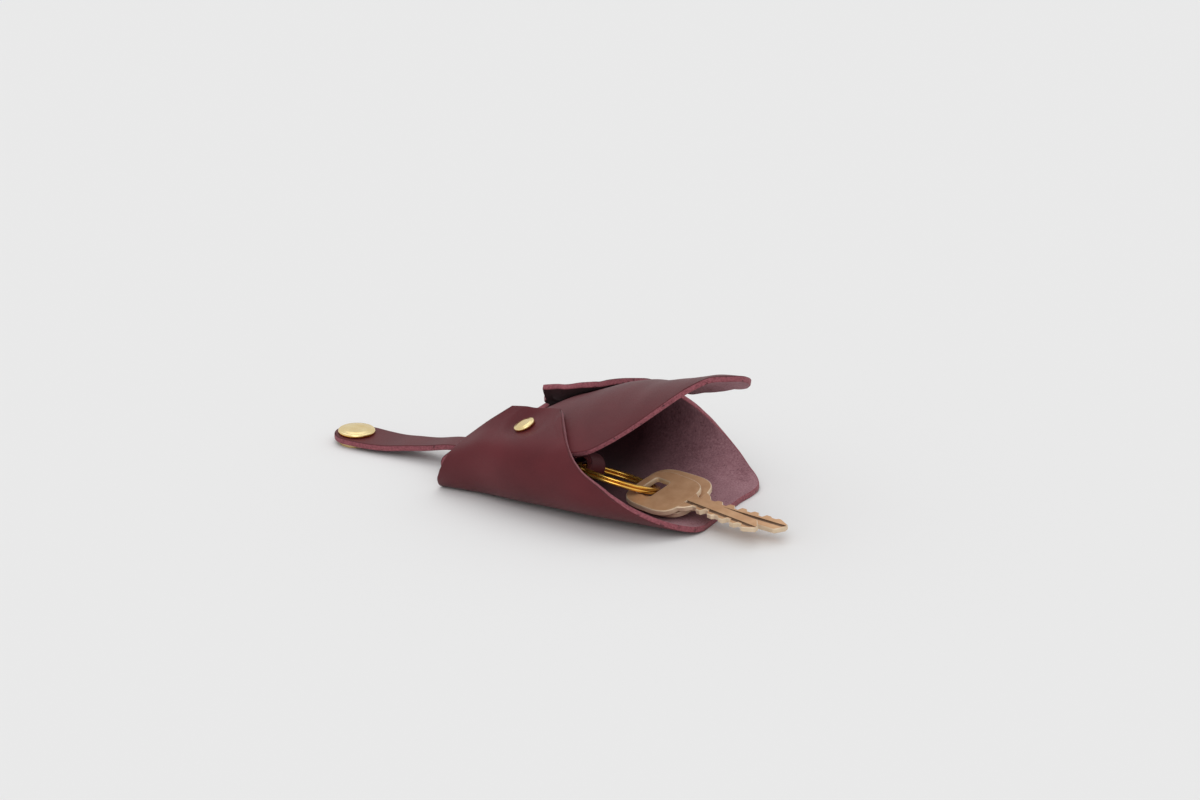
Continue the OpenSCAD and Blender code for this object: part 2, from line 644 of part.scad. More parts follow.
// Keys: a bow with round corners and a long hole that the ring goes through, and a blade with cuts and a groove.
// A key's frame has its origin in the middle of the hole, and the blade runs along x
module key_place(place, dip, turn) {
    translate(place)
        rotate([0, dip, 0])
            rotate([key_lean_angle, 0, 0])
                rotate([0, 0, turn])
                    children();
}
function bow_edge(bow, share) = bow / 2 * sign(share) * abs(share) ^ bow_square_share;
function cut_points(x0, pitch, cuts) = [for (i = [0 : len(cuts) - 1]) each [
    [x0 + pitch * (i - 0.34), blade_w * (peak_share - 0.5)],
    [x0 + pitch * (i - 0.16), blade_w * (cuts[i] - 0.5)],
    [x0 + pitch * (i + 0.16), blade_w * (cuts[i] - 0.5)],
    [x0 + pitch * (i + 0.34), blade_w * (peak_share - 0.5)]
]];
module key_shape(length, bow, cut_shares) {
    bow_x = bow / 2 - key_end;
    shoulder = bow_x + bow / 2 + blade_w * 0.25;
    point = blade_w * 0.5;
    pitch = (length - shoulder - point) / len(cut_shares);
    difference() {
        translate([0, 0, -key_t / 2])
            linear_extrude(key_t)
                union() {
                    translate([bow_x, 0])
                        polygon([for (a = [0 : 6 : 354]) [bow_edge(bow, cos(a)), bow_edge(bow, sin(a))]]);
                    polygon(concat(
                        [[bow_x, -blade_w * 0.9], [shoulder - blade_w * 0.35, -blade_w * 0.7]],
                        [[shoulder, -blade_w / 2]],
                        cut_points(shoulder + pitch / 2, pitch, cut_shares),
                        [[length - point, blade_w * (peak_share - 0.5)], [length, -blade_w * 0.12]],
                        [[length, blade_w * 0.12], [length - point * 0.7, blade_w / 2]],
                        [[shoulder, blade_w / 2]],
                        [[shoulder - blade_w * 0.35, blade_w * 0.7], [bow_x, blade_w * 0.9]]
                    ));
                }
        translate([-key_hole_x / 2, -key_hole_y / 2, -key_t]) cube([key_hole_x, key_hole_y, 2 * key_t]);
        for (face = [-1, 1])
            translate([shoulder - blade_w * 0.3, -face * groove_w / 2 - groove_w / 2, face * key_t * 0.5 - groove_t])
                cube([length, groove_w, 2 * groove_t]);
    }
}
module key_front() {
    color("#9b765a")
    placed()
    key_place([key_front_x, key_front_y, key_front_z], key_front_dip_angle, key_front_turn_angle)
        key_shape(key_front_len, bow_front_d, front_cut_shares);
}
module key_rear() {
    color("#8c6a50")
    placed()
    key_place([key_rear_x, key_rear_y, key_front_z - key_step], key_rear_dip_angle, key_rear_turn_angle)
        mirror([0, 1, 0]) key_shape(key_rear_len, bow_rear_d, rear_cut_shares);
}

back_panel();
near_wing();
far_wing();
front_root();
front_flap();
wing_rivet_caps();
wing_rivet_posts();
strap_inner();
strap_tail();
strap_rivet_cap();
strap_rivet_post();
snap_cap();
snap_socket();
snap_spring();
snap_stud();
snap_eyelet();
split_ring();
key_front();
key_rear();
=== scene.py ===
import bpy
import numpy as np
from mathutils import Matrix


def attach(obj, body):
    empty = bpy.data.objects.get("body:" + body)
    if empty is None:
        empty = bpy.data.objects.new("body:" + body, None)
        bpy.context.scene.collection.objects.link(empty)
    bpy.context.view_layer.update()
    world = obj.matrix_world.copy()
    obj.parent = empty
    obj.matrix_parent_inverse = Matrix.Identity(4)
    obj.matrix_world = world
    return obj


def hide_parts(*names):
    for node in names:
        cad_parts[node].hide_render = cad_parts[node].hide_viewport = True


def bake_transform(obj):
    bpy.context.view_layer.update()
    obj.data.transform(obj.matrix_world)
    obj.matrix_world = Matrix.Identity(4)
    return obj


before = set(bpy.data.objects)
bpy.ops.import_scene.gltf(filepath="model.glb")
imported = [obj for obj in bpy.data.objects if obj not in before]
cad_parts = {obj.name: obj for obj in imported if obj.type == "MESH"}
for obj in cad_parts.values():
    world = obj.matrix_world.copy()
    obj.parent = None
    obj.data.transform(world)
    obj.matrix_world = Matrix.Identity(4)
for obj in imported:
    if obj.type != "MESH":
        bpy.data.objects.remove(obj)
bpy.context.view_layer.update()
mm = 0.001
print("frame loaded")


# Numpy helpers

# A smooth curve through a table of places and values: cubic pieces whose slopes weigh the two neighbours
def through(table, where):
    places, values = np.array(table, float).T
    spans = np.diff(places)
    slopes = np.diff(values) / spans
    middle = (slopes[:-1] * spans[1:] + slopes[1:] * spans[:-1]) / (spans[:-1] + spans[1:])
    tangents = np.concatenate([slopes[:1], middle, slopes[-1:]])
    q = np.clip(where, places[0], places[-1])
    i = np.clip(np.searchsorted(places, q, side="right") - 1, 0, len(spans) - 1)
    h = spans[i]
    u = (q - places[i]) / h
    start = (2 * u**3 - 3 * u**2 + 1) * values[i] + (u**3 - 2 * u**2 + u) * h * tangents[i]
    return start + (3 * u**2 - 2 * u**3) * values[i + 1] + (u**3 - u**2) * h * tangents[i + 1]


def ease(u):  # 0 to 1 with level ends
    v = np.clip(u, 0, 1)
    return v * v * (3 - 2 * v)


def squared(share, power):  # a circle's cosine or sine drawn out towards a square
    return np.sign(share) * abs(share) ** power


def unit(v):
    return v / np.maximum(np.linalg.norm(v, axis=-1, keepdims=True), 1e-12)


def turned(axis, degrees):  # a 3x3 turn about x, y or z
    return np.array(Matrix.Rotation(np.radians(degrees), 3, axis))


def gridQuads(rows, columns, wrapRows=False, wrapColumns=False):  # corner numbers of a grid's cells
    i, j = np.meshgrid(np.arange(rows if wrapRows else rows - 1),
                       np.arange(columns if wrapColumns else columns - 1), indexing="ij")
    nextRow, nextColumn = (i + 1) % rows, (j + 1) % columns
    corners = [i * columns + j, nextRow * columns + j, nextRow * columns + nextColumn, i * columns + nextColumn]
    return np.stack(corners, -1).reshape(-1, 4)


# A tube of rows round an axis, closed at both ends by fans; the two fans' middles come after the grid's points
def closedTube(rows, columns, flipped=False):
    middle = rows * columns
    last = middle - columns
    j = np.arange(columns)
    k = (j + 1) % columns
    walls = gridQuads(rows, columns, wrapColumns=True)
    fans = [np.stack([np.full(columns, middle), j, k], -1),
            np.stack([np.full(columns, middle + 1), last + k, last + j], -1)]
    step = -1 if flipped else 1
    return walls[:, ::step].tolist() + [face for fan in fans for face in fan[:, ::step].tolist()]


def makeMesh(name, points, faces, materials, bands=None):
    mesh = bpy.data.meshes.new(name)
    mesh.from_pydata(points.tolist(), [], [list(face) for face in faces])
    for material in materials:
        mesh.materials.append(material)
    if bands is not None:
        mesh.polygons.foreach_set("material_index", np.asarray(bands, np.int32))
    mesh.polygons.foreach_set("use_smooth", np.ones(len(mesh.polygons), bool))
    mesh.validate()
    mesh.update()
    piece = bpy.data.objects.new(name, mesh)
    bpy.context.collection.objects.link(piece)
    return piece


# Shader expressions: a socket that adds Math nodes when it is used in a sum or a product

class Wire:
    def __init__(self, tree, socket):
        self.tree, self.socket = tree, socket

    def join(self, operation, other, flipped=False):
        sides = (other, self) if flipped else (self, other)
        return self.tree.add("Math", {"operation": operation}, dict(enumerate(sides)))

    def __add__(self, other):
        return self.join("ADD", other)

    __radd__ = __add__

    def __sub__(self, other):
        return self.join("SUBTRACT", other)

    def __rsub__(self, other):
        return self.join("SUBTRACT", other, True)

    def __mul__(self, other):
        return self.join("MULTIPLY", other)

    __rmul__ = __mul__

    def sharpened(self, low, high):  # 0 below low, 1 above high
        return self.tree.add("MapRange", {"clamp": True}, {"Value": self, "From Min": low, "From Max": high})


class Tree:
    def __init__(self, name, shader=None):
        self.material = bpy.data.materials.new(name)
        self.material.use_nodes = True
        self.nodes = self.material.node_tree.nodes
        self.surface = self.nodes["Principled BSDF"]
        for socket, value in (shader or {}).items():
            self.surface.inputs[socket].default_value = value

    def add(self, kind, settings=None, values=None, output=0):
        node = self.nodes.new("ShaderNode" + kind)
        for key, value in (settings or {}).items():
            setattr(node, key, value)
        for key, value in (values or {}).items():
            self.feed(node.inputs[key], value)
        return Wire(self, node.outputs[output])

    def feed(self, socket, value):
        if isinstance(value, Wire):
            self.material.node_tree.links.new(value.socket, socket)
        else:
            socket.default_value = value

    def set(self, **sockets):
        for key, value in sockets.items():
            self.feed(self.surface.inputs[key.replace("_", " ")], value)
        return self.material

    def place(self, scale=(1, 1, 1)):  # object coordinates, stretched
        where = self.add("TexCoord", output="Object")
        return self.add("Mapping", {}, {"Vector": where, "Scale": scale})

    def noise(self, where, scale, detail=3.0, roughness=0.55):
        return self.add("TexNoise", {}, {"Vector": where, "Scale": scale, "Detail": detail, "Roughness": roughness})

    def cellWalls(self, where, scale):  # 0 on the line between two cells
        return self.add("TexVoronoi", {"feature": "DISTANCE_TO_EDGE"}, {"Vector": where, "Scale": scale})

    def blend(self, amount, first, second):
        return self.add("Mix", {"data_type": "RGBA"}, {0: amount, 6: first, 7: second}, output=2)

    def bump(self, height, strength, depth):
        return self.add("Bump", {}, {"Height": height, "Strength": strength, "Distance": depth})


def linear(red, green, blue):  # a colour as a screen shows it, 0 to 255, in linear light
    shown = np.array([red, green, blue]) / 255
    light = np.where(shown <= 0.04045, shown / 12.92, ((shown + 0.055) / 1.055) ** 2.4)
    return (*light, 1.0)


# Materials

# Looks: colours, then the scales of the patterns in cells a metre, then the relief's strength and depth
hideLook = dict(dark=linear(79, 17, 25), light=linear(94, 25, 33), worn=linear(104, 38, 46), cell=1500, pore=2550,
                blotch=55, rough=0.5, grain=0.16, grainDepth=0.08 * mm)


def hideMaterial():  # grain side: smooth calf, fine cells, slow cloudy colour
    tree = Tree("leatherGrain", {"Sheen Weight": 0.04, "Sheen Roughness": 0.5, "Specular IOR Level": 0.3})
    where = tree.place()
    cloud = tree.noise(where, hideLook["blotch"], 4)
    cell = tree.cellWalls(where, hideLook["cell"]).sharpened(0.0, 0.25)
    pore = tree.noise(where, hideLook["pore"], 3)
    colour = tree.blend(cloud.sharpened(0.3, 0.7), hideLook["dark"], hideLook["light"])
    height = cell * 0.6 + pore * 0.4
    return tree.set(Base_Color=tree.blend(cell * 0.12, colour, hideLook["worn"]),
                    Roughness=hideLook["rough"] + 0.12 * pore - 0.06 * cell,
                    Normal=tree.bump(height, hideLook["grain"], hideLook["grainDepth"]))


rimLook = dict(dark=linear(102, 40, 48), light=linear(164, 92, 102), spot=linear(50, 14, 20), fibre=1400, fleck=700,
               grain=0.6, grainDepth=0.15 * mm)


def rimMaterial():  # cut edge: pinkish fibres with dark flecks
    tree = Tree("leatherRim", {"Sheen Weight": 0.1})
    where = tree.place()
    fibre = tree.noise(where, rimLook["fibre"], 5, 0.7)
    fleck = tree.noise(where, rimLook["fleck"], 2).sharpened(0.62, 0.7)
    colour = tree.blend(fibre.sharpened(0.3, 0.7), rimLook["dark"], rimLook["light"])
    return tree.set(Base_Color=tree.blend(fleck * 0.8, colour, rimLook["spot"]),
                    Roughness=0.72 + 0.15 * fibre, Normal=tree.bump(fibre, rimLook["grain"], rimLook["grainDepth"]))


cornerLook = dict(dark=linear(62, 18, 26), light=linear(84, 32, 40), patch=900)


def cornerMaterial():  # the dyed line along the corner of a cut edge
    tree = Tree("leatherCorner", {"Specular IOR Level": 0.4})
    patch = tree.noise(tree.place(), cornerLook["patch"], 3)
    return tree.set(Base_Color=tree.blend(patch, cornerLook["dark"], cornerLook["light"]),
                    Roughness=0.5 + 0.2 * patch)


# Painted light and shade on the flesh side: the inside pair is painted shade deep in the case, the mouth pair is
# painted light at the open end. The two places of reach are the X at which the painted light starts and is full
fleshLook = dict(inside=(linear(40, 8, 16), linear(72, 30, 38)), mouth=(linear(118, 72, 82), linear(180, 136, 144)),
                 reach=(1 * mm, 34 * mm), spot=linear(60, 26, 32), nap=1500, cloud=130, speck=900,
                 grain=0.6, grainDepth=0.18 * mm)


def fleshMaterial():  # flesh side: short upright fibres, soft clouds and dark specks, with painted shade deep inside and painted light, paler, at the mouth
    tree = Tree("leatherFlesh", {"Sheen Weight": 0.08, "Sheen Roughness": 0.6, "Specular IOR Level": 0.15})
    nap = tree.noise(tree.place((1, 1, 0.35)), fleshLook["nap"], 5, 0.75)
    cloud = tree.noise(tree.place((1, 1, 0.5)), fleshLook["cloud"], 4)
    speck = tree.noise(tree.place(), fleshLook["speck"], 2).sharpened(0.66, 0.72)
    # painted shade and light: along object X the colour runs from dark deep in the case to pale at the mouth
    paintedPouchShade = tree.add("SeparateXYZ", {}, {"Vector": tree.place()}).sharpened(*fleshLook["reach"])
    dark, light = [tree.blend(paintedPouchShade, *pair) for pair in zip(fleshLook["inside"], fleshLook["mouth"])]
    colour = tree.blend((nap * 0.75 + cloud * 0.35).sharpened(0.35, 0.75), dark, light)
    return tree.set(Base_Color=tree.blend(speck * 0.55, colour, fleshLook["spot"]),
                    Roughness=0.8 + 0.15 * nap, Normal=tree.bump(nap, fleshLook["grain"], fleshLook["grainDepth"]))


metalLook = dict(wear=260, stroke=420, scratch=150, relief=0.25, reliefDepth=0.03 * mm)


def metalMaterial(name, dark, light, rough, brushed=0.0, scratches=0.0, metallic=1.0):
    # brushed and scratches are shares of the relief from the strokes along X and from the sparse scratches
    tree = Tree(name, {"Metallic": metallic})
    wear = tree.noise(tree.place(), metalLook["wear"], 4)
    stroke = tree.noise(tree.place((1, 9, 9)), metalLook["stroke"], 4, 0.7)
    scratch = tree.noise(tree.place((2, 30, 8)), metalLook["scratch"], 2).sharpened(0.6, 0.66)
    colour = tree.blend(wear.sharpened(0.3, 0.75), dark, light)
    height = stroke * brushed + scratch * scratches
    return tree.set(Base_Color=colour, Roughness=rough + 0.1 * wear + 0.12 * brushed * stroke,
                    Normal=tree.bump(height, metalLook["relief"], metalLook["reliefDepth"]))


hide, rim, corner, flesh = hideMaterial(), rimMaterial(), cornerMaterial(), fleshMaterial()
gold = metalMaterial("polishedGold", linear(246, 218, 154), linear(252, 232, 178), 0.16)
goldRim = metalMaterial("deepGold", linear(214, 150, 52), linear(232, 170, 70), 0.22)
goldWire = metalMaterial("ringGold", linear(255, 186, 72), linear(255, 216, 116), 0.16, 0.1, metallic=0.85)
steelWire = metalMaterial("springSteel", linear(188, 184, 178), linear(206, 202, 196), 0.3, 0.4)
keyFace = metalMaterial("keyFace", linear(198, 152, 112), linear(216, 174, 134), 0.42, 1.0, 0.6, metallic=0.3)
keyEdge = metalMaterial("keyEdge", linear(214, 190, 160), linear(236, 214, 186), 0.34, 0.8, metallic=0.45)
keyGroove = metalMaterial("keyGroove", linear(104, 80, 62), linear(132, 104, 82), 0.5, 0.8, metallic=0.3)
print("materials made")


# Leather shell: a grid of points on the grain face becomes a closed sheet with rounded cut edges.
# The inner face lies one thickness below along the mean normal of the cells round a point; each edge is carried
# round two quarter circles and the flat between them. Where flatEdge is set the edge stays square
def leatherShell(name, points, quads, thickness, rimRadius, flatEdge=None, inside=flesh):
    used = np.unique(quads)
    renumber = np.full(len(points), -1)
    renumber[used] = np.arange(len(used))
    points, quads = points[used], renumber[quads]
    square = np.zeros(len(used), bool) if flatEdge is None else flatEdge[used]
    a, b, c, d = (points[quads[:, k]] for k in range(4))
    faceNormals = np.cross(c - a, d - b)
    normals = np.zeros_like(points)
    for k in range(4):
        np.add.at(normals, quads[:, k], faceNormals)
    normals = unit(normals)

    count = len(points)
    starts = quads.reshape(-1)
    ends = np.roll(quads, -1, axis=1).reshape(-1)
    lone = ~np.isin(starts * count + ends, ends * count + starts)  # cell sides with no cell beyond them
    starts, ends = starts[lone], ends[lone]
    after, before = np.full(count, -1), np.full(count, -1)
    after[starts], before[ends] = ends, starts
    edge = np.sort(starts)
    slot = np.full(count, -1)
    slot[edge] = np.arange(len(edge))
    forward, back = unit(points[after[edge]] - points[edge]), unit(points[edge] - points[before[edge]])
    outward = unit(np.cross(unit(forward + back), normals[edge]))
    cornerCosine = np.sqrt(np.maximum((1 + np.sum(forward * back, -1)) / 2, 0.25))[:, None]

    angles = np.radians(np.linspace(0, 90, 5))
    out = np.concatenate([np.sin(angles) - 1, [0, 0], np.cos(angles) - 1]) * rimRadius
    down = np.concatenate([(1 - np.cos(angles)) * rimRadius, [thickness * 0.4, thickness * 0.62],
                           thickness - (1 - np.sin(angles)) * rimRadius])
    rounded = np.where(square[edge], 0, 1)[None, :, None] * out[:, None, None] / cornerCosine[None]
    rings = points[edge][None] + outward[None] * rounded - normals[edge][None] * down[:, None, None]

    top, bottom = points.copy(), points - normals * thickness
    top[edge], bottom[edge] = rings[0], rings[-1]
    middle = rings[1:-1]
    ringAt = [edge] + [2 * count + k * len(edge) + np.arange(len(edge)) for k in range(len(middle))] + [count + edge]
    s, e = slot[starts], slot[ends]
    walls = [np.stack([lower[s], lower[e], upper[e], upper[s]], -1) for upper, lower in zip(ringAt[:-1], ringAt[1:])]
    wallBands = [0, 0, 2] + [1] * (len(walls) - 3)  # grain where the rounding starts, the dyed line, then fibres
    bands = [0] * len(quads) + [3] * len(quads) + np.repeat(wallBands, len(starts)).tolist()
    faces = np.concatenate([quads, quads[:, ::-1] + count] + walls)
    points = np.concatenate([top, bottom, middle.reshape(-1, 3)])
    return makeMesh(name, points, faces, [hide, rim, corner, inside], bands)


# Body: back panel with two rolled wings. Sizes as in the CAD: a place along the case, then a share of a size

body = dict(
    length=97 * mm, halfWidth=40 * mm, height=32 * mm, leather=2 * mm, wingTip=12 * mm,
    flat=[[0, 0.49], [0.17, 0.45], [0.39, 0.425], [0.6, 0.4], [1, 0.4]],
    side=[[0, 0.63], [0.035, 0.65], [0.17, 0.72], [0.31, 0.84], [0.5, 0.935], [0.6, 0.985], [0.73, 1], [1, 1]],
    middle=[[0, 0.24], [0.05, 0.265], [0.17, 0.34], [0.31, 0.41], [0.5, 0.484], [0.6, 0.5], [1, 0.5]],
    tip=[[0, 0.44], [0.052, 0.547], [0.106, 0.678], [0.19, 0.853], [0.237, 0.8875], [0.31, 0.925], [0.42, 0.978],
         [0.52, 1.016], [0.6, 1.06], [1, 1.12]],
    tilt=[[0, 0.3], [0.06, 0.5], [0.106, 0.75], [0.17, 0.92], [0.22, 0.9], [0.27, 0.75], [0.32, 0.6], [0.36, 0.45],
          [0.42, 0.28], [0.5, 0.15], [0.62, 0.05], [1, 0]],
    lean=[[0, 0.105], [0.2, 0.105], [0.31, 0.06], [0.42, 0], [1, 0]],
    narrowEdge=[[0, 0.0129], [0.4, 0.0129], [0.45, 0.0155], [0.5, 0.0232], [0.55, 0.0309], [0.6, 0.0412],
                [0.7, 0.0593], [0.8, 0.0799], [0.85, 0.0876], [0.9, 0.1186], [0.95, 0.1856], [1, 0.2371]],
    farCut=[[0, 0], [0.45, 0], [0.55, 0], [0.63, 0.065], [0.7, 0.11], [0.8, 0.112], [0.88, 0.098], [0.92, 0.073],
            [0.95, 0.041], [1, 0]],
    farMouth=[[0, 0], [0.12, 0.003], [0.18, 0.01], [0.22, 0.012], [0.26, 0.008], [0.3, -0.004], [0.34, -0.014],
              [0.38, -0.02], [0.43, -0.022], [0.5, -0.022], [0.65, -0.019], [0.8, -0.014], [0.95, 0], [1, 0]],
    mouthEdge=[[0, 1], [0.2, 1], [0.26, 0.998], [0.3, 0.985], [0.35, 0.948], [0.4, 0.907], [0.45, 0.858],
               [0.5, 0.806], [0.57, 0.735], [0.65, 0.629], [0.7, 0.588], [0.8, 0.528], [0.85, 0.5026],
               [0.9, 0.4768], [1, 0.4227]],
    flatEnd=0.2, sideEnd=0.57, sideFull=0.72, topFull=0.58, rimRadius=0.34 * mm,
    rivetX=32.6 * mm, rivetY=19.8 * mm, farLift=1.2 * mm, seat=4.2 * mm, seatBlend=9 * mm, gap=0.1 * mm,
    flexGap=0.6 * mm, slopeStep=0.5 * mm, rows=74, columns=120)
origin = np.array([-body["length"] / 2, 0, 0])  # the narrow end, from the middle of the back panel

flap = dict(
    length=104 * mm, halfWidth=33 * mm, tipHeight=48.2 * mm, neckHalf=12 * mm, neckRadius=4.25 * mm,
    slotHalf=6.2 * mm, slotLow=3.3 * mm, slotEnd=9.5 * mm,
    ridge=[[0.012, 0.1763], [0.048, 0.199], [0.096, 0.261], [0.144, 0.332], [0.192, 0.4], [0.26, 0.4855],
           [0.337, 0.577], [0.379, 0.612], [0.444, 0.668], [0.503, 0.718], [0.563, 0.757], [0.643, 0.805],
           [0.683, 0.84], [0.769, 0.907], [0.831, 0.948], [0.904, 0.979], [1, 1]],
    half=[[0, 0.3636], [0.03, 0.3636], [0.077, 0.424], [0.144, 0.576], [0.212, 0.712], [0.298, 0.818],
          [0.385, 0.894], [0.462, 0.935], [0.548, 0.955], [0.58, 0.94], [0.62, 0.88], [0.679, 0.75], [0.771, 0.545],
          [0.844, 0.4], [0.906, 0.333], [0.93, 0.315]],
    arch=[[0, 2.3], [0.298, 2.3], [0.385, 1.7], [0.548, 1.55], [0.62, 1.45], [0.683, 1.09], [0.769, 0.85],
          [0.837, 0.64], [0.913, 0.61], [1, 0.61]],
    farReach=[[0, 1], [0.6, 1], [0.7, 1.12], [0.8, 1.15], [0.87, 1.02], [0.93, 0.75], [1, 0.6]],
    roll=[[0, 0], [0.46, 0], [0.615, 0.02], [0.683, 0.08], [0.769, 0.18], [0.844, 0.385], [0.906, 0.57], [1, 0.6]],
    tipLength=8 * mm, split=48 * mm, flexStart=40 * mm, flexEnd=58 * mm, riseLength=11.7 * mm,
    evenFrom=14 * mm, evenOver=14 * mm, columns=36)


# Half width of the flap; where it rolls, its far half lies steeper and so reaches less far
def flapHalf(x, side):
    share = x / flap["length"]
    half = flap["halfWidth"] * through(flap["half"], share)
    roll, bow = through(flap["roll"], share), half / (2 * flap["halfWidth"] * through(flap["arch"], share))
    far = through(flap["farReach"], share) * np.sqrt((1 + (roll - bow) ** 2) / (1 + (roll + bow) ** 2))
    return half * np.where(side > 0, far, 1)


# Flap face: the ridge height, less y squared over twice the arch radius, less the roll, all leaned to one side
def flapTop(x, y):
    share = x / flap["length"]
    arch = flap["halfWidth"] * through(flap["arch"], share)
    plain = flap["tipHeight"] * through(flap["ridge"], share) - y**2 / (2 * arch) - y * through(flap["roll"], share)
    return plain - y * through(body["lean"], x / body["length"]) * plain / body["height"]


def flapSlopes(x, y):
    e = body["slopeStep"]
    return ((flapTop(x + e, y) - flapTop(x - e, y)) / (2 * e), (flapTop(x, y + e) - flapTop(x, y - e)) / (2 * e))


# Wing face: flat, then a quarter ellipse up the side, then a cubic curve over to the tip, across the leather from
# the centre line (w = 0) to the tip (w = 1); near its rivet, and where it would sink in, it lies on the flap
def wingFace(x, w, side):
    s = x / body["length"]
    flatY, sideY = (body["halfWidth"] * through(body[k], s) for k in ("flat", "side"))
    middleZ, tipZ = (body["height"] * through(body[k], s) for k in ("middle", "tip"))
    reach = body["topFull"] * (sideY - body["wingTip"])
    a = np.clip((w - body["flatEnd"]) / (body["sideEnd"] - body["flatEnd"]), 0, 1) * np.pi / 2
    u = np.clip((w - body["sideEnd"]) / (1 - body["sideEnd"]), 0, 1)
    p, q, r, t = (1 - u) ** 3, 3 * (1 - u) ** 2 * u, 3 * (1 - u) * u**2, u**3
    low = w <= body["sideEnd"]
    lowY = np.where(w <= body["flatEnd"], flatY * w / body["flatEnd"], flatY + (sideY - flatY) * np.sin(a))
    y = np.where(low, lowY, (p + q) * sideY + r * (body["wingTip"] + reach) + t * body["wingTip"])
    z = np.where(low, middleZ * (1 - np.cos(a)),
                 p * middleZ + q * (middleZ + body["sideFull"] * (tipZ - middleZ))
                 + r * (tipZ - through(body["tilt"], s) * reach) + t * tipZ)
    free = z - side * y * through(body["lean"], s) * z / body["height"]
    away = np.hypot(x - body["rivetX"], y - body["rivetY"])
    k = np.where(low, 0, ease((body["seatBlend"] - away) / (body["seatBlend"] - body["seat"])))
    slopeX, slopeY = flapSlopes(x, side * y)
    gap = body["gap"] + body["flexGap"] * ease((x - flap["split"] + 2 * body["seat"]) / body["seat"])
    seated = flapTop(x, side * y) + (body["leather"] + gap) * np.sqrt(1 + slopeX**2 + slopeY**2)
    over = np.where(low, 0, ease((flapHalf(x, -1) + body["seat"] - y) / body["seat"]))
    curl = np.where(low | (side < 0), 0, body["farLift"] * ease((body["rivetY"] - body["seat"] - y) / body["seat"]))
    down = np.where(seated > free, np.maximum(k, over), k)
    return np.stack([x, side * y, curl + free + (seated - free) * down], -1)


def bodyEdge(edge, farEdge, W):  # X of a cut edge across the leather, with the far wing's own cut
    return body["length"] * (through(body[edge], abs(W)) + np.where(W > 0, through(body[farEdge], abs(W)), 0))


def makeBody():
    neckShare = flap["neckHalf"] / (body["halfWidth"] * body["flat"][0][1]) * body["flatEnd"]
    w = np.linspace(0, 1, body["rows"] + 1)
    w[np.argmin(abs(w - neckShare))] = neckShare
    across = np.concatenate([-w[:0:-1], w])
    along = np.linspace(0, 1, body["columns"] + 1)
    W, S = np.meshgrid(across, along, indexing="ij")
    start, end = bodyEdge("narrowEdge", "farCut", W), bodyEdge("mouthEdge", "farMouth", W)
    x = start + (end - start) * S
    points = wingFace(x, abs(W), np.where(W < 0, -1, 1)) + origin
    square = (S == 0) & (abs(W) < neckShare + 1e-9)
    piece = leatherShell("leatherBody", points.reshape(-1, 3), gridQuads(*W.shape), body["leather"],
                         body["rimRadius"], square.reshape(-1))
    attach(piece, "case")
    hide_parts("back_panel", "near_wing", "far_wing")


def slotMiddle(x):  # the slot follows the strap, which crosses the neck at an angle
    return -strap["aside"] + x * np.tan(np.radians(strap["yaw"]))


# Neck and flap: half a circle round the neck's fold, a rise to the flap's face, the face itself, and an elliptic
# tip. Across, the columns keep the strap's slot straight near the neck and spread evenly further on
def makeFlap():
    neckX = body["length"] * body["narrowEdge"][0][1]
    lead = flap["neckRadius"] / 10
    turn = np.radians(np.linspace(0, 180, 29))
    bendX = np.concatenate([[neckX], neckX - lead - flap["neckRadius"] * np.sin(turn)])
    bendZ = np.concatenate([[0], flap["neckRadius"] * (1 - np.cos(turn))])
    lastX = flap["length"] - flap["tipLength"]
    slotX = np.linspace(neckX, flap["slotEnd"], 9)[1:]
    runX = np.concatenate([slotX, np.linspace(flap["slotEnd"], lastX, 100)[1:]])
    n = flap["columns"]
    v = np.arange(-n, n + 1) / n
    inner = 1 / 3  # the share of the columns that lies over the slot
    k = ease((runX - flap["evenFrom"]) / flap["evenOver"])[:, None]

    def spreadAt(x, half, k):
        middle = slotMiddle(x)
        slotEdge = middle + np.sign(v) * flap["slotHalf"]
        beside = slotEdge + (half * np.sign(v) - slotEdge) * (abs(v) - inner) / (1 - inner)
        fitted = np.where(abs(v) <= inner, middle + flap["slotHalf"] * v / inner, beside)
        return fitted * (1 - k) + half * v * k

    bendY = spreadAt(bendX[:, None], flap["neckHalf"], 0)
    bend = np.stack(np.broadcast_arrays(bendX[:, None], bendY, bendZ[:, None]), -1)
    runHalf = flapHalf(runX[:, None], v[None])
    runY = spreadAt(runX[:, None], runHalf, k)
    rise = ease((runX - neckX) / flap["riseLength"])[:, None]
    runZ = flapTop(runX[:, None], runY) * rise + 2 * flap["neckRadius"] * (1 - rise)
    run = np.stack(np.broadcast_arrays(runX[:, None], runY, runZ), -1)
    u = (np.arange(1, 15) / 14)[:, None]
    lastHalf = runHalf[-1]
    tipX = lastX + flap["tipLength"] * u * np.sqrt(1 - v**2 / 2)
    tipY = lastHalf * v * np.sqrt(1 - u**2 / 2)
    tip = np.stack([tipX, tipY, flapTop(tipX, tipY)], -1)
    points = np.concatenate([bend, run, tip]) + origin
    quads = gridQuads(*points.shape[:2])
    flat = points.reshape(-1, 3)
    centre = flat[quads].mean(1) - origin
    beside = abs(centre[:, 1] - slotMiddle(centre[:, 0]))
    inSlot = (centre[:, 2] > flap["slotLow"]) & (centre[:, 0] < flap["slotEnd"]) & (beside < flap["slotHalf"])
    square = np.arange(len(flat)) < points.shape[1]
    piece = leatherShell("leatherFlap", flat, quads[~inSlot], body["leather"], body["rimRadius"], square)
    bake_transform(piece)
    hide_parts("front_root", "front_flap")


# Strap: one strip from the round head, down its tail, through the neck, round the ring and back under itself.
# A row holds its place along the leather, its height and the direction it runs in; its width is a share of the head

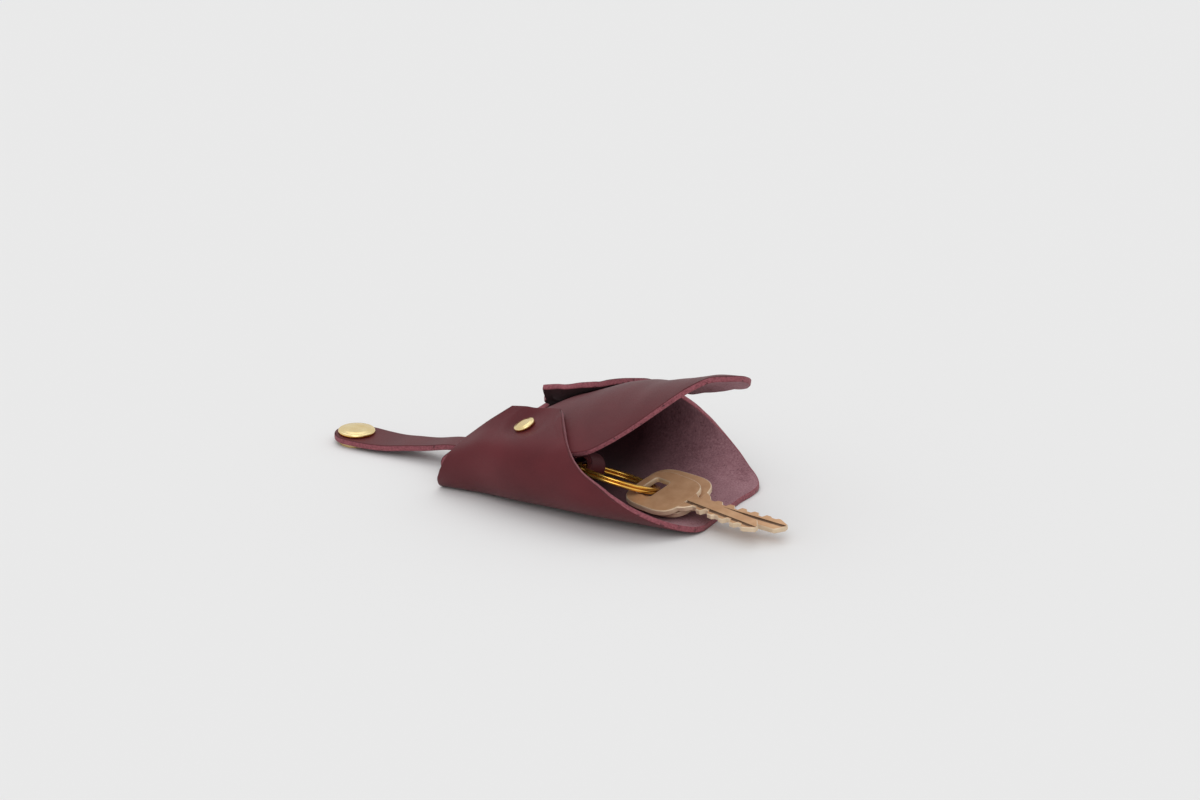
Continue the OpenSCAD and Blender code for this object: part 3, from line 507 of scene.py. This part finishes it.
strap = dict(
    width=9 * mm, thick=2 * mm, lift=7 * mm, yaw=-6.5, aside=1.2 * mm, snapOut=42.8 * mm, foldOut=6.3 * mm,
    loopIn=48 * mm, studIn=18 * mm, roll=-22, headRadius=7.5 * mm, socket=1.4 * mm, foldDrop=1.05 * mm,
    rimRadius=0.38 * mm, bendFrom=4.6 * mm, bendTo=10 * mm,
    # The loop round the ring, in wire widths, then strap widths, then strap thicknesses
    loopFit=1.42, loopRise=0.9, loopTail=1.85, loopFall=0.7, rollFrom=0.45, rollTo=1.8, loopLift=0.1, tailDrop=1.05,
    height=[[0, 1], [0.156, 0.681], [0.375, 0.374], [0.595, 0.088], [0.72, 0.02], [0.8, 0], [0.84, 0], [1, 0]],
    tailWidth=[[0, 0.6], [0.1, 0.6], [0.4, 0.73], [0.7, 0.92], [0.87, 0.99], [1, 1]], columns=16)
ring = dict(outer=29 * mm, wide=2 * mm, high=1.1 * mm, spacing=1.04, sweep=705, step=30, pitch=4.6, turn=-13,
            first=200, lift=0.5 * mm, rows=420)
strap["middle"] = strap["lift"] + strap["thick"] / 2
strap["start"] = np.array([0, -strap["aside"], 0]) + origin
ring["radius"] = (ring["outer"] - ring["wide"]) / 2
rollSin, rollCos = np.sin(np.radians(-strap["roll"])), np.cos(np.radians(strap["roll"]))
ring["height"] = (body["leather"] + ring["lift"] + ring["radius"] * (np.sin(np.radians(ring["pitch"])) + rollSin)
                  + ring["wide"] / 2 * rollSin + ring["high"] * rollCos)
strapTurn = turned("Z", strap["yaw"])


def strapPath():  # rows of (x, height over the strap's middle), and their half widths
    midRadius = strap["loopFit"] * ring["wide"] + strap["thick"] / 2
    rise, tail = strap["loopRise"] * strap["width"], strap["loopTail"] * strap["width"]
    fall = strap["loopFall"] * rise
    turnZ, backZ = strap["loopLift"] * strap["thick"], -strap["tailDrop"] * strap["thick"]
    u = np.linspace(1, 0, 60)
    low = strap["socket"] + strap["thick"] / 2
    tailX = -strap["foldOut"] - (strap["snapOut"] - strap["foldOut"]) * u
    fold = strap["middle"] - strap["foldDrop"]
    tailZ = low + (fold - low) * through(strap["height"], u) - strap["middle"]
    tailHalf = strap["headRadius"] * through(strap["tailWidth"], u)
    straight = np.linspace(-strap["foldOut"], strap["loopIn"] - rise, 56)[1:]
    up = np.linspace(0, 1, 16)[1:-1]
    turn = np.radians(np.linspace(0, 180, 28))
    down = np.linspace(0, 1, 14)[1:]
    rest = np.linspace(0, 1, 9)[1:]
    x = np.concatenate([tailX, straight, strap["loopIn"] - rise + rise * up,
                        strap["loopIn"] + midRadius * np.sin(turn), strap["loopIn"] - fall * down,
                        strap["loopIn"] - fall - (tail - fall) * rest])
    bent = np.maximum(strap["thick"] - straight, 0) / (strap["thick"] + strap["foldOut"])
    z = np.concatenate([tailZ, -strap["foldDrop"] * bent**2, (turnZ + midRadius) * ease(up),
                        turnZ + midRadius * np.cos(turn),
                        turnZ - midRadius + (backZ - turnZ + midRadius) * ease(down), np.full(len(rest), backZ)])
    half = np.concatenate([tailHalf, np.full(len(x) - len(tailHalf), strap["width"] / 2)])
    return x, z, half


def makeStrap():
    x, z, half = strapPath()
    n = strap["columns"] // 2
    v = np.arange(-n, n + 1) / n
    headU = np.linspace(1, 0, 12)[:-1, None]
    headX = x[0] - strap["headRadius"] * headU * np.sqrt(1 - v**2 / 2)
    headY = strap["headRadius"] * v * np.sqrt(1 - headU**2 / 2)
    X = np.concatenate([headX, np.broadcast_to(x[:, None], (len(x), len(v)))])
    Y = np.concatenate([headY, half[:, None] * v])
    Z = np.concatenate([np.full_like(headX, z[0]), np.broadcast_to(z[:, None], (len(x), len(v)))])
    along = unit(np.gradient(np.stack([x, z], -1), axis=0))
    up = np.stack([-along[:, 1], along[:, 0]], -1)
    up = np.concatenate([np.tile([0.0, 1.0], (len(headX), 1)), up])
    X, Z = X + up[:, :1] * strap["thick"] / 2, Z + up[:, 1:] * strap["thick"] / 2
    rollFrom = strap["studIn"] + strap["rollFrom"] * strap["width"]
    rollTo = strap["loopIn"] - strap["rollTo"] * strap["width"]
    k = ease((X - rollFrom) / (rollTo - rollFrom))
    a = np.radians(strap["roll"]) * k
    lift = strap["middle"] + k * (ring["height"] - strap["middle"] - strap["loopLift"] * strap["thick"])
    points = np.stack([X, Y * np.cos(a) - Z * np.sin(a), lift + Y * np.sin(a) + Z * np.cos(a)], -1)
    points = points @ strapTurn.T + strap["start"]
    piece = leatherShell("leatherStrap", points.reshape(-1, 3), gridQuads(*X.shape), strap["thick"],
                         strap["rimRadius"], inside=hide)
    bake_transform(piece)
    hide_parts("strap_inner", "strap_tail")


makeBody()
makeFlap()
makeStrap()
print("leather made")


# Round metal caps: a profile of (radius, height) turned about its axis, with a rolled rim and a low dome. The rim
# rolls through 160 degrees about a circle at rimPlace of the radius; the dome eases in over domeReach of the way

capLook = dict(snapDiameter=12.5 * mm, snapHeight=1.5 * mm, rivetDiameter=7.4 * mm, rivetHeight=1.3 * mm,
               rimPlace=0.94, rimMiddle=0.42, rimHeight=0.38, domeFoot=0.8, domeReach=1 / 2.2)


def turnedCap(name, diameter, height, turn, centre, rimRows, steps):
    r = diameter / 2
    a = np.radians(np.linspace(-80, 80, 13))
    edge, foot = r * capLook["rimPlace"], capLook["domeFoot"]
    rolledZ = height * (capLook["rimMiddle"] + capLook["rimHeight"] * np.sin(a))
    rolled = np.stack([edge + (r - edge) * np.cos(a), rolledZ], -1)
    u = np.linspace(0, 1, 15)[1:]
    face = np.stack([edge * (1 - u), height * (foot + (1 - foot) * ease(u / capLook["domeReach"]))], -1)
    under = np.array([[r * 0.5, 0], [r * 0.9, 0]])
    rings = np.concatenate([under, rolled, face[:-1]])[:, None]
    angle = np.linspace(0, 2 * np.pi, steps, endpoint=False)
    radius, z = rings[..., 0], rings[..., 1]
    grid = np.stack(np.broadcast_arrays(radius * np.cos(angle), radius * np.sin(angle), z), -1)
    points = np.concatenate([grid.reshape(-1, 3), [[0, 0, 0], [0, 0, face[-1, 1]]]])
    bands = np.repeat((np.arange(len(rings) - 1) < rimRows).astype(int), steps).tolist() + [1] * steps + [0] * steps
    return makeMesh(name, points @ turn.T + centre, closedTube(len(rings), steps, True), [gold, goldRim], bands)


def makeCaps():
    middle = strapTurn @ np.array([-strap["snapOut"], 0, 0]) + strap["start"]
    seat = middle + np.array([0, 0, strap["socket"] + strap["thick"]])
    cap = turnedCap("snapCap", capLook["snapDiameter"], capLook["snapHeight"], np.eye(3), seat, 9, 96)
    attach(cap, "strap_end")
    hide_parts("snap_cap")
    for side, name in ((-1, "wingRivetNear"), (1, "wingRivetFar")):
        x, y = body["rivetX"], side * body["rivetY"]
        slopeX, slopeY = flapSlopes(x, y)
        normal = unit(np.array([-slopeX, -slopeY, 1.0]))
        right = unit(np.cross([0, 1, 0], normal))
        turn = np.stack([right, np.cross(normal, right), normal], -1)
        base = np.array([x, y, flapTop(x, y)]) + normal * (body["leather"] + 1.5 * body["gap"]) + origin
        part = turnedCap(name, capLook["rivetDiameter"], capLook["rivetHeight"], turn, base, 8, 72)
        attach(part, "case")
        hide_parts("wing_rivet_caps")


makeCaps()
print("caps made")


# Split ring: a flat rounded wire wound twice, stepping from the lower turn to the upper one

def wireSection(wide, high, count=20, power=3.2):  # a rounded rectangle as a superellipse
    t = np.linspace(0, 2 * np.pi, count, endpoint=False)
    c, s = np.cos(t), np.sin(t)
    return np.stack([wide / 2 * squared(c, 2 / power), high / 2 * squared(s, 2 / power)], -1)


def makeRing():
    section = wireSection(ring["wide"], ring["high"])
    a = np.linspace(0, ring["sweep"], ring["rows"])
    z = ring["high"] * ring["spacing"] * (ease((a - 360 + ring["step"]) / ring["step"]) - 0.5)
    t = np.radians(a + ring["first"])
    fromEnd = np.minimum(np.arange(len(a)), np.arange(len(a))[::-1])
    thinned = np.clip(1 - fromEnd / 3, 0, 1)  # the wire thins over the last three rows at each end
    endRound = np.sqrt(np.clip(1 - thinned**2, 0.12, 1))
    r = ring["radius"] + section[None, :, 0] * endRound[:, None]
    h = z[:, None] + section[None, :, 1] * endRound[:, None]
    grid = np.stack([r * np.cos(t)[:, None] + ring["radius"], r * np.sin(t)[:, None], h], -1)
    caps = np.stack([grid[0].mean(0), grid[-1].mean(0)])
    spin = turned("Z", ring["turn"]) @ turned("Y", ring["pitch"]) @ turned("X", strap["roll"])
    hold = strapTurn @ np.array([strap["loopIn"], 0, ring["height"]]) + strap["start"]
    points = np.concatenate([grid.reshape(-1, 3), caps]) @ spin.T + hold
    piece = makeMesh("splitRing", points, closedTube(*grid.shape[:2]), [goldWire])
    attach(piece, "ring")
    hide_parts("split_ring")


makeRing()
print("split ring made")


# Keys: a bow whose section is carried round its hole, and a blade whose section is carried along its length

key = dict(thick=1.9 * mm, end=6.1 * mm, blade=7.4 * mm, holeX=6.2 * mm, holeY=10.75 * mm, lean=12, bevel=0.3 * mm,
           square=0.58)
keys = dict(
    key_front=dict(name="frontKey", body="front_key", bow=21.5 * mm, length=45.5 * mm,
                   cuts=[0.28, 0.36, 0.24, 0.34, 0.3], side=-1, place=(74.703 * mm, -12 * mm, 8.25 * mm), dip=-1.5,
                   turn=-17.7),
    key_rear=dict(name="rearKey", body="rear_key", bow=24 * mm, length=52.5 * mm,
                  cuts=[0.26, 0.34, 0.36, 0.28, 0.34, 0.22], side=1, place=(73.502 * mm, -7.5 * mm, 6.6 * mm),
                  dip=-0.5, turn=-10.7))


# Bow: the hole's outline and the bow's outline at the same angle, with rounded edges, joined lane by lane
def makeBow(bow):
    angle = np.linspace(0, 2 * np.pi, 200, endpoint=False)
    c, s = np.cos(angle), np.sin(angle)
    b, half = key["bevel"], key["thick"] / 2
    middle = bow / 2 - key["end"]

    def outline(grow, halfX, halfY, power, x):
        return np.stack([x + (halfX + grow) * squared(c, power), (halfY + grow) * squared(s, power)], -1)

    # A lane is (share of the way from the hole to the outline, growth, height)
    lanes = [(0, 0, half - b), (0, b * 0.3, half - b * 0.3), (0, b, half), (0.5, 0, half), (1, -b, half),
             (1, -b * 0.3, half - b * 0.3), (1, 0, half - b)]
    lanes += [(share, grow, -z) for share, grow, z in lanes[::-1]]
    rows = []
    for share, grow, z in lanes:
        hole = outline(grow, key["holeX"] / 2, key["holeY"] / 2, 0.28, 0)
        rim = outline(grow, bow / 2, bow / 2, key["square"], middle)
        flat = hole * (1 - share) + rim * share
        rows.append(np.concatenate([flat, np.full((len(c), 1), z)], -1))
    bands = np.repeat([1, 1, 0, 0, 1, 1, 1] * 2, len(angle))
    return np.stack(rows).reshape(-1, 3), gridQuads(len(lanes), len(angle), True, True), bands


# Blade: half widths above and below the middle at each place, the lower one cut back by trapezium notches. A lane
# is (edge, shift, height): its edge is the lower one (-1), the middle line (0) or the upper one (1)
def makeBlade(bow, length, cuts):
    wide = key["blade"]
    shoulder, point = bow - key["end"] + 0.25 * wide, 0.5 * wide
    pitch = (length - shoulder - point) / len(cuts)
    first = shoulder + pitch / 2
    half, peak, tip = wide / 2, 0.36 * wide, 0.12 * wide
    marks, depths = [shoulder - 0.5 * wide, shoulder - 0.3 * wide, shoulder], [0.72 * wide, 0.68 * wide, half]
    for i, cut in enumerate(cuts):
        marks += [first + pitch * (i + k) for k in (-0.34, -0.16, 0.16, 0.34)]
        depths += [peak, half - cut * wide, half - cut * wide, peak]
    marks += [length - point, length]
    depths += [peak, tip]
    extra = np.linspace(marks[0], length - 0.05 * mm, 90)
    x = np.unique(np.round(np.concatenate([marks, extra]), 6))
    lower = -np.interp(x, marks, depths)
    upper = np.interp(x, marks[:3] + [length - 0.7 * point, length], depths[:3] + [half, tip])
    groove, deep, b, t = 0.16 * wide, 0.2 * key["thick"], key["bevel"], key["thick"] / 2 - 0.02 * mm
    topLane = [(-1, b, t), (-1, 2 * b, t), (0, -1.05 * groove, t), (0, -0.95 * groove, t - deep),
               (0, -0.05 * groove, t - deep), (0, 0.05 * groove, t), (1, -2 * b, t), (1, -b, t)]
    lanes = [(-1, 0, t - b)] + topLane + [(1, 0, t - b), (1, 0, b - t)]
    lanes += [(-side, -shift, -z) for side, shift, z in topLane] + [(-1, 0, b - t)]
    columns = []
    for side, shift, z in lanes:
        y = {-1: lower + shift, 0: np.clip(shift, lower + 2.5 * b, upper - 2.5 * b), 1: upper + shift}[side]
        columns.append(np.stack([x, y, np.full_like(x, z)], -1))
    grid = np.stack(columns, 1)
    ends = np.stack([grid[0].mean(0), grid[-1].mean(0)])
    halfLane = [1, 0, 0, 2, 2, 2, 0, 0, 1, 1]
    bands = halfLane * 2 * (len(x) - 1) + [1] * (2 * len(lanes))
    return np.concatenate([grid.reshape(-1, 3), ends]), closedTube(*grid.shape[:2]), bands


def makeKey(node, look):
    bowPoints, bowFaces, bowBands = makeBow(look["bow"])
    bladePoints, bladeFaces, bladeBands = makeBlade(look["bow"], look["length"], look["cuts"])
    points = np.concatenate([bowPoints, bladePoints])
    faces = bowFaces.tolist() + [[corner + len(bowPoints) for corner in face] for face in bladeFaces]
    if look["side"] > 0:  # the rear key is turned over, with its cuts on the far side
        points = points * [1, -1, -1]
    turn = turned("Y", look["dip"]) @ turned("X", key["lean"]) @ turned("Z", look["turn"])
    placed = points @ turn.T + np.array(look["place"]) + origin
    piece = makeMesh(look["name"], placed, faces, [keyFace, keyEdge, keyGroove], list(bowBands) + bladeBands)
    for polygon in piece.data.polygons:
        polygon.use_smooth = False
    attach(piece, look["body"])
    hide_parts(node)


for node, look in keys.items():
    makeKey(node, look)
print("keys made")


# CAD nodes that stay, with their finishes

kept = dict(wing_rivet_posts=goldRim, strap_rivet_cap=gold, strap_rivet_post=goldRim, snap_socket=gold,
            snap_spring=steelWire, snap_stud=goldRim, snap_eyelet=gold)
for node, material in kept.items():
    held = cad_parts[node]
    for slot in held.material_slots:
        slot.material = material
print("kept nodes finished")


# Floor, light and camera

# A sky, a soft lamp behind on the left and a weaker one in front on the right, each leaning by two angles
stage = dict(floor=linear(236, 236, 236), floorSize=12.0, sky=0.69,
             lamps=dict(softKey=(0.5, 60, -20, -16), softFill=(0.62, 40, 42, 16)))


def makeStage():
    half = stage["floorSize"] / 2
    corners = np.array([[-half, -half, 0], [half, -half, 0], [half, half, 0], [-half, half, 0]])
    tree = Tree("paleFloor", {"Roughness": 0.95, "Specular IOR Level": 0.0})
    floor = makeMesh("paleFloor", corners, [[0, 1, 2, 3]], [tree.set(Base_Color=stage["floor"])])
    world = bpy.data.worlds.new("studio")
    bpy.context.scene.world = world
    world.use_nodes = True
    sky = world.node_tree.nodes["Background"]
    sky.inputs["Color"].default_value = (1, 1, 1, 1)
    sky.inputs["Strength"].default_value = stage["sky"]
    for name, (energy, spread, leanX, leanY) in stage["lamps"].items():
        lamp = bpy.data.lights.new(name, "SUN")
        lamp.energy, lamp.angle = energy, np.radians(spread)
        sun = bpy.data.objects.new(name, lamp)
        sun.rotation_euler = (np.radians(leanX), np.radians(leanY), 0)
        bpy.context.collection.objects.link(sun)


view = dict(right=(0.903, 0.431, 0.0), up=(-0.154, 0.323, 0.934), target=(-11.5 * mm, 26.3 * mm, 20.3 * mm),
            lens=300, sensor=36, wide=400 * mm)


def makeCamera():
    data = bpy.data.cameras.new("photoCamera")
    data.lens, data.sensor_width = view["lens"], view["sensor"]
    data.clip_start, data.clip_end = 0.1, 50
    camera = bpy.data.objects.new("photoCamera", data)
    bpy.context.collection.objects.link(camera)
    right = unit(np.array(view["right"]))
    back = unit(np.cross(right, view["up"]))
    turn = Matrix(np.stack([right, np.cross(back, right), back], -1).tolist()).to_4x4()
    distance = view["wide"] * view["lens"] / view["sensor"]
    camera.matrix_world = Matrix.Translation(np.array(view["target"]) + back * distance) @ turn
    bpy.context.scene.camera = camera


makeStage()
makeCamera()
bpy.context.scene.view_settings.view_transform = "Standard"
print("stage made")
